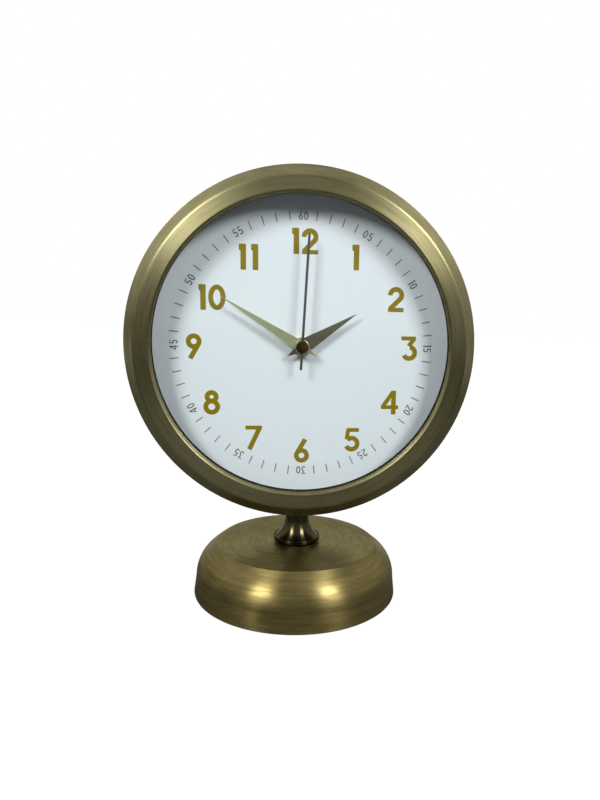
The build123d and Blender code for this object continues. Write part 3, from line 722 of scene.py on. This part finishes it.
class ClockSizes(bpy.types.PropertyGroup):
    """The sizes of the print and of the softened edges."""

    numeral_height: length("Hour numeral height", "Height of the numerals 1 to 12", 10.9 * MM)
    numeral_weight: bpy.props.FloatProperty(
        name="Hour numeral weight", description="Width of a stroke as a share of a numeral's height",
        default=0.195, min=0.05, max=0.3, subtype="FACTOR")
    minute_height: length("Minute numeral height", "Height of the small numerals 05 to 60", 3.8 * MM)
    minute_radius: length(
        "Minute numeral radius", "From the centre to the middle of the small numerals", 56.1 * MM)
    tick_start: length("Tick start", "From the centre to the inner end of a minute tick", 54.3 * MM)
    tick_length: length("Tick length", "Length of a minute tick", 3.95 * MM)
    tick_width: length("Tick width", "Width of a minute tick", 0.42 * MM)
    print_turn: angle_setting(
        "Print turn", "How far the printed dial is turned clockwise in its case", -1.05, -0.2, 0.2)
    edge: length("Edge round", "Radius that softens the outer edge of the bezel", 0.15 * MM)
    ridge: length("Ridge round", "Radius of the ridge round the bezel", 2.0 * MM)
    hand_edge: length("Hand edge", "Chamfer along the edges of the hour and minute hands", 0.12 * MM)


class ClockColours(bpy.types.PropertyGroup):
    """The colours of the metals, the print, the hands and the spacer."""

    case_bright: tint("Case brass", "Bezel and drum where they are bright", (0.24, 0.222, 0.118))
    case_dark: tint("Case patina", "Bezel and drum where they are darkened", (0.135, 0.118, 0.055))
    base_bright: tint("Base brass", "The base where it is bright", (0.22, 0.182, 0.075))
    base_dark: tint("Base patina", "The base where it has darkened", (0.10, 0.074, 0.021))
    bronze: tint("Neck bronze", "Dark polished neck and collar", (0.065, 0.055, 0.028))
    dial: tint("Dial", "Printed ground of the dial", (0.725, 0.775, 0.805))
    numerals: tint("Hour numerals", "Gold of the hour numerals", (0.252, 0.187, 0.005))
    ticks: tint("Minute track", "Ticks and small numerals", (0.115, 0.108, 0.05))
    hour_hand: tint("Hour hand", "Dark satin brass of the hour hand", (0.27, 0.255, 0.175))
    minute_hand: tint("Minute hand", "Pale satin brass of the minute hand", (0.71, 0.75, 0.45))
    seconds: tint("Seconds hand", "Dark slate of the seconds hand", (0.10, 0.105, 0.10))
    spacer: tint("Spacer", "Dark ring between dial and glass", (0.016, 0.013, 0.010))


class ClockStudio(bpy.types.PropertyGroup):
    """The lamps and the even light of the studio."""

    lamp_power: bpy.props.FloatProperty(
        name="Lamp power", description="Power of each of the two soft lamps", default=0.93, min=0.0,
        max=100.0, unit="POWER")
    lamp_size: length("Lamp size", "Side of each soft lamp", 0.28, 5.0)
    lamp_distance: length("Lamp distance", "From the dial to each lamp", 0.95, 10.0)
    lamp_spread: angle_setting("Lamp spread", "Opening angle of each lamp's beam", 60, 0.1, np.pi)
    ambient: bpy.props.FloatProperty(
        name="Ambient light", description="Strength of the even light from behind", default=0.55, min=0.0,
        max=2.0)


# Steps

class ClockOperator:
    """What the clock's operators share: they undo, and their settings are the scene's."""

    bl_options = {"REGISTER", "UNDO"}


class CLOCK_OT_case(ClockOperator, bpy.types.Operator):
    """Turns the bezel and the case drum out of brushed brass"""

    bl_idname = "clock.case"
    bl_label = "Bezel and case"

    def execute(self, context):
        sizes, colours = context.scene.clock_sizes, context.scene.clock_colours
        brass = brushed_brass("case_brass", colours.case_bright, colours.case_dark, FACE_CENTRE,
                              upright=False, roughness=0.39, grain=0.05 * MM, depth=0.4, brushing=0.68,
                              wander=0.01)
        ring = turned(bezel_section(sizes.ridge / MM, sizes.edge / MM), FACE_CENTRE, steps=7, count=320)
        make_piece("bezel_ring", ring, brass, "clock", ["bezel"])
        drum = turned(drum_section(), FACE_CENTRE, steps=9, count=512)
        make_piece("case_drum", drum, brass, "clock", ["case_shell"])
        return {"FINISHED"}


class CLOCK_OT_base(ClockOperator, bpy.types.Operator):
    """Spins the round base with its disc, bevel and shoulder"""

    bl_idname = "clock.base"
    bl_label = "Base"

    def execute(self, context):
        colours = context.scene.clock_colours
        brass = brushed_brass("base_brass", colours.base_bright, colours.base_dark, BASE_CENTRE, upright=True,
                              roughness=0.37, grain=0.05 * MM, depth=0.35, brushing=0.8, wander=0.045)
        dome = turned(base_section(), BASE_CENTRE, steps=4, count=288, upright=True)
        make_piece("base_dome", dome, brass, "clock", ["base_shell"])
        dress(felt("pad_felt", (0.05, 0.055, 0.05), (0.02, 0.022, 0.02)), "base_pad")
        iron = plain_surface("weight_iron", (0.10, 0.10, 0.10), (0.04, 0.04, 0.04), 500, roughness=0.6,
                             bump=0.6, metallic=1.0, size=0.5)
        dress(iron, "base_weight")
        steel = plain_surface("rod_steel", (0.55, 0.55, 0.56), (0.35, 0.35, 0.37), 900, roughness=0.35,
                              bump=0.2, metallic=1.0, stretch=(1, 1, 12))
        dress(steel, "stand_rod", "rod_nuts")
        return {"FINISHED"}


class CLOCK_OT_neck(ClockOperator, bpy.types.Operator):
    """Turns the dark neck, saddled to the round case, and the collar that its foot stands in"""

    bl_idname = "clock.neck"
    bl_label = "Neck and collar"

    def execute(self, context):
        colour = context.scene.clock_colours.bronze
        bronze = brushed_brass("neck_bronze", colour, darker(colour, 0.6), BASE_CENTRE, upright=True,
                               roughness=0.2, grain=0.03 * MM, depth=0.15)
        neck = saddled(turned(neck_section(), BASE_CENTRE, steps=3, count=160, upright=True))
        make_piece("neck_trumpet", neck, bronze, "clock", ["neck"])
        collar = turned(collar_section(), BASE_CENTRE, steps=6, count=160, upright=True)
        make_piece("collar_cup", collar, bronze, "clock", ["collar"])
        return {"FINISHED"}


class CLOCK_OT_face(ClockOperator, bpy.types.Operator):
    """Prints the dial and fits its spacer and glass"""

    bl_idname = "clock.face"
    bl_label = "Dial, numerals and glass"

    def execute(self, context):
        sizes, colours = context.scene.clock_sizes, context.scene.clock_colours
        card = plain_surface("dial_print", colours.dial, darker(colours.dial, 0.985), 1200, roughness=0.42,
                             bump=0.05)
        dress(card, "dial")
        gold = plain_surface("numeral_gold", colours.numerals, darker(colours.numerals, 0.85), 1500,
                             roughness=0.4, **{"Specular IOR Level": 0.1})
        strokes = []
        for words, radius, degrees in HOUR_PLACES:
            gap = ELEVEN_GAP if words == "11" else HOUR_GAP
            strokes += lettering(words, sizes.numeral_height, sizes.numeral_weight, 1.0, radius * MM,
                                 np.radians(degrees) + sizes.print_turn, sizes.print_turn, gap)
        make_piece("hour_numerals", together(strokes), gold, "clock", smooth=False)
        dark = plain_surface("track_print", colours.ticks, darker(colours.ticks, 0.8), 1500, roughness=0.45)
        track = together(self.minute_strokes(sizes))
        make_piece("minute_track", track, dark, "clock", smooth=False)
        matt = plain_surface("spacer_matt", colours.spacer, darker(colours.spacer, 0.7), 900, roughness=0.92,
                             bump=0.2, **{"Specular IOR Level": 0.05})
        wall = ring_section(SPACER_INSIDE, SPACER_OUTSIDE, DIAL_FACE, GLASS_BACK, [0.15] * 4)
        wall = turned(wall, FACE_CENTRE, steps=4, count=320)
        make_piece("spacer_wall", wall, matt, "clock", ["spacer_ring"])
        dress(clear_glass("clear_glass"), "lens")
        return {"FINISHED"}

    def minute_strokes(self, sizes):
        """A tick for each minute, and for every fifth one a number whose foot points to the centre."""
        strokes = []
        for minute in range(60):
            angle = np.radians(6.0 * minute) + sizes.print_turn
            if minute % 5:
                reach = np.array([[sizes.tick_start], [sizes.tick_start + sizes.tick_length]])
                tick = reach * [np.sin(angle), np.cos(angle)] + [0, FACE_HEIGHT]
                strokes.append(bars(tick, sizes.tick_width / 2, DIAL_FRONT, DIAL_FRONT - PRINT_THICKNESS))
            else:
                words = "60" if minute == 0 else f"{minute:02d}"
                strokes += lettering(words, sizes.minute_height, MINUTE_WEIGHT, MINUTE_NARROWING,
                                     sizes.minute_radius, angle, angle, MINUTE_GAP)
        return strokes


class CLOCK_OT_hands(ClockOperator, bpy.types.Operator):
    """Cuts the three hands and turns the nuts and the cap that hold them"""

    bl_idname = "clock.hands"
    bl_label = "Hands"

    def execute(self, context):
        sizes, colours = context.scene.clock_sizes, context.scene.clock_colours
        dim = plain_surface("hour_brass", colours.hour_hand, darker(colours.hour_hand, 0.7), 2600,
                            roughness=0.38, bump=0.12, metallic=1.0)
        pale = plain_surface("minute_brass", colours.minute_hand, darker(colours.minute_hand, 0.8), 2600,
                             roughness=0.38, bump=0.12, metallic=1.0)
        slate = plain_surface("second_slate", colours.seconds, darker(colours.seconds, 0.7), 1800,
                              roughness=0.38, metallic=0.6)
        nut = plain_surface("nut_brass", (0.74, 0.70, 0.47), (0.50, 0.46, 0.27), 1600, roughness=0.28,
                            bump=0.2, metallic=1.0)
        # The cap's colour is speckled with gold spots on near black, and these spots are painted glints.
        painted_glint_bronze = plain_surface("cap_bronze", (0.13, 0.09, 0.02), (0.008, 0.006, 0.002), 1500,
                                 roughness=0.36, bump=0.8, metallic=1.0, size=0.2)
        for name, tip, half, tail, bore, back, degrees, body, metal in (
                ("hour_kite", 28.6, 3.1, 7.8, 2.1, -13.2, 57.0, "hour", dim),
                ("minute_kite", 42.5, 2.35, 8.0, 1.3, -14.1, 300.0, "minute", pale)):
            kite = np.array([(0, tip), (half, KITE_SHOULDER), (0, -tail), (-half, KITE_SHOULDER)]) * MM
            shape = flat_hand(kite, bore * MM, back * MM, (back - KITE_THICKNESS) * MM, sizes.hand_edge,
                              np.radians(degrees))
            make_piece(name, shape, metal, body, [body + "_hand"], smooth=False)
        stick = np.array([(STICK_HALF, STICK_TIP), (STICK_HALF, -STICK_TAIL), (-STICK_HALF, -STICK_TAIL),
                          (-STICK_HALF, STICK_TIP)]) * MM
        shape = flat_hand(stick, STICK_BORE * MM, STICK_BACK * MM, STICK_FRONT * MM, STICK_EDGE * MM,
                          np.radians(STICK_DEGREES))
        make_piece("second_stick", shape, slate, "seconds", ["second_hand"], smooth=False)
        for name, node, body, outer, bore, back, front, material, slot, rounding in (
                ("hub_round_nut", "hub_nut", "clock", 4.3, 3.1, DIAL_FACE, -12.5, nut, "nut_brass", 0.3),
                ("minute_round_nut", "minute_nut", "minute", 3.2, 1.3, -14.5, -15.1, nut, "nut_brass", 0.15),
                ("second_round_cap", "second_cap", "seconds", 2.7, 0.05, STICK_FRONT, -16.7, painted_glint_bronze,
                 "second_slate", 0.45)):
            section = ring_section(bore, outer, back, front, (0.02, 0.1, rounding, 0.02))
            make_piece(name, turned(section, FACE_CENTRE, steps=7, count=96), material, body, [node])
        return {"FINISHED"}


class CLOCK_OT_movement(ClockOperator, bpy.types.Operator):
    """Gives the movement, the back cover and the battery their finishes"""

    bl_idname = "clock.movement"
    bl_label = "Movement and back"

    # Each row has a name, its nodes, two colours, the pattern's scale, the roughness and the relief's
    # strength. Some go on with how far the surface is metal, and with the pattern's stretch.
    finishes = (
        ("moulded_black", ("movement_front_case", "movement_rear_case", "setting_knob"),
         (0.030, 0.030, 0.033), (0.018, 0.018, 0.02), 1800, 0.42, 0.25),
        ("cover_black", ("back_cover",), (0.036, 0.036, 0.038), (0.022, 0.022, 0.024), 1300, 0.5, 0.4),
        ("moulded_natural", ("middle_plate",), (0.72, 0.70, 0.62), (0.60, 0.58, 0.50), 1500, 0.4, 0.15),
        ("wheel_natural", ("seconds_wheel", "intermediate_wheel", "third_wheel", "centre_wheel",
                           "motion_wheel", "hour_wheel"),
         (0.78, 0.75, 0.66), (0.66, 0.63, 0.54), 1800, 0.38, 0.12),
        ("bobbin_natural", ("coil_bobbin",), (0.60, 0.55, 0.42), (0.50, 0.45, 0.33), 1500, 0.4, 0.15),
        ("pipe_brass", ("minute_pipe",), (0.66, 0.50, 0.22), (0.48, 0.35, 0.14), 1600, 0.3, 0.2, 1.0,
         (1, 12, 1)),
        ("magnet_grey", ("rotor",), (0.20, 0.20, 0.21), (0.12, 0.12, 0.13), 2400, 0.4, 0.3, 1.0),
        ("stamped_iron", ("stator", "coil_core"), (0.42, 0.42, 0.43), (0.28, 0.28, 0.30), 1400, 0.36, 0.2,
         1.0, (1, 1, 9)),
        ("board_green", ("circuit_board",), (0.02, 0.13, 0.05), (0.012, 0.08, 0.03), 900, 0.3, 0.1),
        ("battery_jacket", ("battery",), (0.035, 0.035, 0.04), (0.02, 0.02, 0.024), 700, 0.28, 0.1, 0.0,
         (1, 6, 6)),
        ("spring_steel", ("positive_contact", "negative_contact"), (0.62, 0.62, 0.60), (0.45, 0.45, 0.44),
         1500, 0.28, 0.15, 1.0, (1, 8, 1)),
    )

    def execute(self, context):
        for name, names, *look in self.finishes:
            dress(plain_surface(name, *look), *names)
        dress(wound_copper("wound_copper", (0.62, 0.24, 0.10), (0.30, 0.10, 0.04)), "coil_winding")
        return {"FINISHED"}


class CLOCK_OT_studio(ClockOperator, bpy.types.Operator):
    """Sets the pale floor, the soft light and the camera"""

    bl_idname = "clock.studio"
    bl_label = "Studio"

    def execute(self, context):
        studio = context.scene.clock_studio
        self.add_floor()
        self.add_world(context.scene, studio.ambient)
        for name, side in (("lamp_left", -LAMP_SIDE), ("lamp_right", LAMP_SIDE)):
            self.add_lamp(name, np.radians(side), np.radians(LAMP_UP), studio)
        self.add_camera(context.scene)
        context.scene.view_settings.view_transform = "Standard"
        return {"FINISHED"}

    def seen_rays(self, tree):
        """Whether the camera sees a place itself, and whether it is seen mirrored or through glass."""
        rays = add_node(tree, "LightPath").outputs
        mirrored = calculate(tree, "MAXIMUM", rays["Is Glossy Ray"], rays["Is Transmission Ray"])
        return rays["Is Camera Ray"], mirrored

    def add_floor(self):
        """A wide pale floor that glows white to the camera and takes the shadow.

        The glow is a little weaker by the clock than farther away, and metal and glass mirror it only behind
        the clock.
        """
        mesh = bpy.data.meshes.new("floor")
        corners = [(x * FLOOR_HALF, y * FLOOR_HALF, 0) for x, y in ((-1, -1), (1, -1), (1, 1), (-1, 1))]
        mesh.from_pydata(corners, [], [(0, 1, 2, 3)])
        floor = add_object("floor", mesh)
        material, tree, shader, place = new_material("floor_white")
        paper = ramp(tree, noise(tree, place, 3.0), 0.3, 0.7, (0.21, 0.21, 0.21), (0.22, 0.22, 0.22))
        away = vector_result(tree, "LENGTH", {0: place}, "Value")
        white = spread(tree, rise(tree, away, 0.08, 0.35), 0.87, 1.0)
        back = add_node(tree, "SeparateXYZ", {0: place}).outputs[1]
        behind = rise(tree, back, 0.01, 0.3)
        camera, mirrored = self.seen_rays(tree)
        seen = calculate(tree, "MAXIMUM", camera, calculate(tree, "MULTIPLY", mirrored, behind))
        glow = add_node(tree, "Emission", {"Strength": calculate(tree, "MULTIPLY", seen, white)})
        matte = add_node(tree, "BsdfDiffuse", {"Color": paper})
        both = add_node(tree, "AddShader", {0: matte.outputs[0], 1: glow.outputs[0]})
        swap_shader(tree, shader, both.outputs[0])
        mesh.materials.append(material)

    def add_world(self, scene, ambient):
        """A white background, which metal and glass mirror behind and above the clock.

        Both the room that they mirror and the even light are dimmer in front, where the lamps stand.
        """
        world = bpy.data.worlds.new("studio")
        scene.world = world
        world.use_nodes = True
        tree = world.node_tree
        tree.nodes.clear()
        place = add_node(tree, "TexCoord").outputs["Generated"]
        parts = add_node(tree, "SeparateXYZ", {0: place}).outputs
        back, up = parts[1], parts[2]
        behind = rise(tree, back, 0.7, 0.95)
        above = calculate(tree, "MULTIPLY", rise(tree, up, -0.15, 0.4), rise(tree, back, -1.4, -0.1))
        room = spread(tree, calculate(tree, "MAXIMUM", behind, above), 0.34, 1.0)
        camera, mirrored = self.seen_rays(tree)
        shown = calculate(tree, "MAXIMUM", calculate(tree, "MULTIPLY", mirrored, room), camera)
        plain = calculate(tree, "SUBTRACT", 1.0, calculate(tree, "MAXIMUM", mirrored, camera))
        even = spread(tree, rise(tree, back, -0.05, 0.5), 0.04 * ambient, ambient)
        strength = calculate(tree, "ADD", shown, calculate(tree, "MULTIPLY", plain, even))
        ground = add_node(tree, "Background", {"Color": (1, 1, 1, 1), "Strength": strength})
        output = add_node(tree, "OutputWorld")
        tree.links.new(ground.outputs[0], output.inputs["Surface"])

    def add_lamp(self, name, side, up, studio):
        """A square soft lamp that faces the dial from an angle to the side and an angle above it."""
        light = bpy.data.lights.new(name, "AREA")
        light.shape = "SQUARE"
        light.size = studio.lamp_size
        light.energy = studio.lamp_power
        light.spread = studio.lamp_spread
        away = np.array([np.sin(side) * np.cos(up), -np.cos(side) * np.cos(up), np.sin(up)])
        right = unit(np.cross([0, 0, 1], away))
        axes = np.stack([right, np.cross(away, right), away], 1)
        matrix = Matrix(axes.tolist()).to_4x4()
        matrix.translation = (away * studio.lamp_distance + FACE_CENTRE).tolist()
        add_object(name, light).matrix_world = matrix

    def add_camera(self, scene):
        """The camera stands 0.27 m from the dial, slightly above its middle, and looks slightly down."""
        data = bpy.data.cameras.new("camera")
        data.sensor_width = CAMERA_SENSOR
        data.lens = CAMERA_LENS
        data.shift_x, data.shift_y = CAMERA_SHIFT
        data.clip_start = CAMERA_NEAR
        camera = add_object("camera", data)
        camera.location = CAMERA_PLACE
        camera.rotation_euler = np.radians(CAMERA_DEGREES).tolist()
        scene.camera = camera


class CLOCK_PT_sidebar(bpy.types.Panel):
    """Lists the steps that dress the clock, with its sizes, colours and lamps"""

    bl_idname = "CLOCK_PT_sidebar"
    bl_label = "Table Clock"
    bl_space_type = "VIEW_3D"
    bl_region_type = "UI"
    bl_category = "Clock"

    def draw(self, context):
        for operator in OPERATORS:
            self.layout.operator(operator.bl_idname)
        for group in (context.scene.clock_sizes, context.scene.clock_colours, context.scene.clock_studio):
            box = self.layout.box()
            for key in type(group).__annotations__:
                box.prop(group, key)


GROUPS = {"clock_sizes": ClockSizes, "clock_colours": ClockColours, "clock_studio": ClockStudio}
OPERATORS = (CLOCK_OT_case, CLOCK_OT_base, CLOCK_OT_neck, CLOCK_OT_face, CLOCK_OT_hands, CLOCK_OT_movement,
             CLOCK_OT_studio)


def register():
    """Registers the classes and gives the scene its settings."""
    for item in (*GROUPS.values(), *OPERATORS, CLOCK_PT_sidebar):
        bpy.utils.register_class(item)
    for key, group in GROUPS.items():
        setattr(bpy.types.Scene, key, bpy.props.PointerProperty(type=group))


def unregister():
    """Takes the settings off the scene and unregisters the classes."""
    for key in GROUPS:
        delattr(bpy.types.Scene, key)
    for item in reversed((*GROUPS.values(), *OPERATORS, CLOCK_PT_sidebar)):
        bpy.utils.unregister_class(item)


def main():
    register()
    bpy.ops.clock.case()
    bpy.ops.clock.base()
    bpy.ops.clock.neck()
    bpy.ops.clock.face()
    bpy.ops.clock.hands()
    bpy.ops.clock.movement()
    bpy.ops.clock.studio()


if __name__ == "__main__":
    main()
